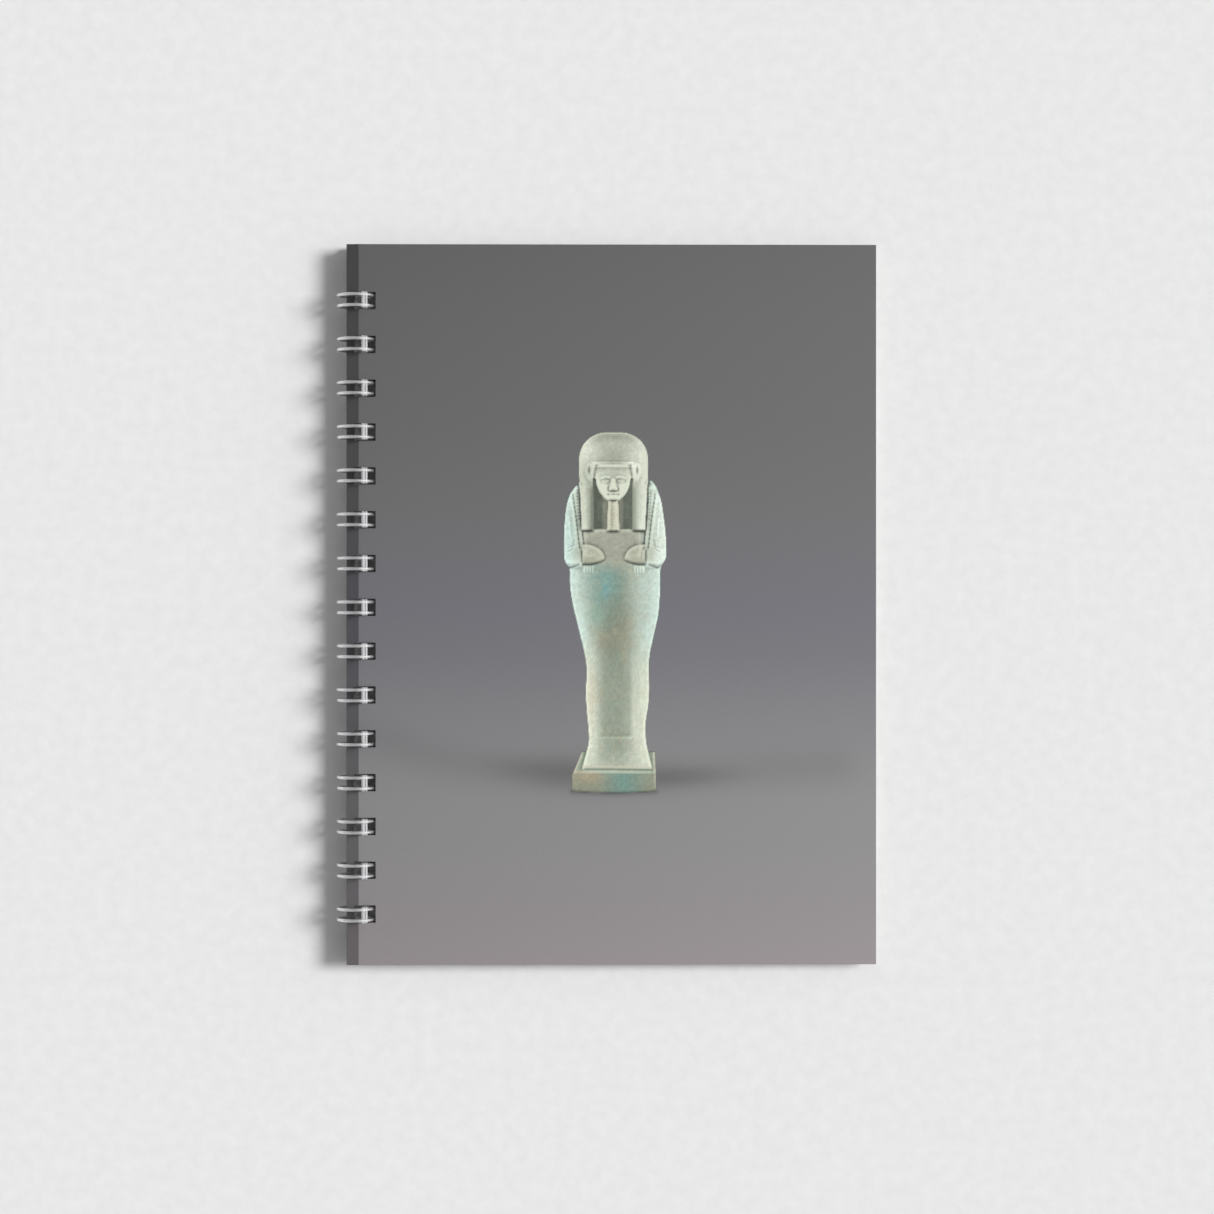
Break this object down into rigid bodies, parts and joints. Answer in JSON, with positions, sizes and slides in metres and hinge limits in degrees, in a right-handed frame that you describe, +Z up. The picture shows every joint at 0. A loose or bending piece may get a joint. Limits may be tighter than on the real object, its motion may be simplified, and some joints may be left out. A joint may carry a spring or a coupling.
{
  "type": "twin-wire ring-bound notebook",
  "caption": "Closed notebook with board covers and paper leaves, punched along the spine and held by a row of twin wire rings; the front cover opens on the rings.",
  "frame": {"origin": "middle of the footprint, on the surface the notebook lies on", "axes": "+Z up, +Y along the spine towards the head of the pages, +X from the spine to the fore-edge"},
  "size_m": [0.1566, 0.209, 0.0111],
  "materials": {
    "printed_board": "printed, matt laminated",
    "grey_board": "plain, matt",
    "paper": "uncoated",
    "wire": "bright nickel plate"
  },
  "bodies": {
    "book": {"back_cover": "grey_board", "page_block": "paper", "twin_ring_01": "wire", "twin_ring_02": "wire", "twin_ring_03": "wire", "twin_ring_04": "wire", "twin_ring_05": "wire", "twin_ring_06": "wire", "twin_ring_07": "wire", "twin_ring_08": "wire", "twin_ring_09": "wire", "twin_ring_10": "wire", "twin_ring_11": "wire", "twin_ring_12": "wire", "twin_ring_13": "wire", "twin_ring_14": "wire", "twin_ring_15": "wire"},
    "cover": {"front_cover": "printed_board"}
  },
  "joints": [
    {"name": "cover_hinge", "type": "hinge", "parent": "book", "child": "cover", "pos_m": [-0.07496, 0, 0.00662], "axis": [0, -1, 0], "range_deg": [0, 183]}
  ]
}
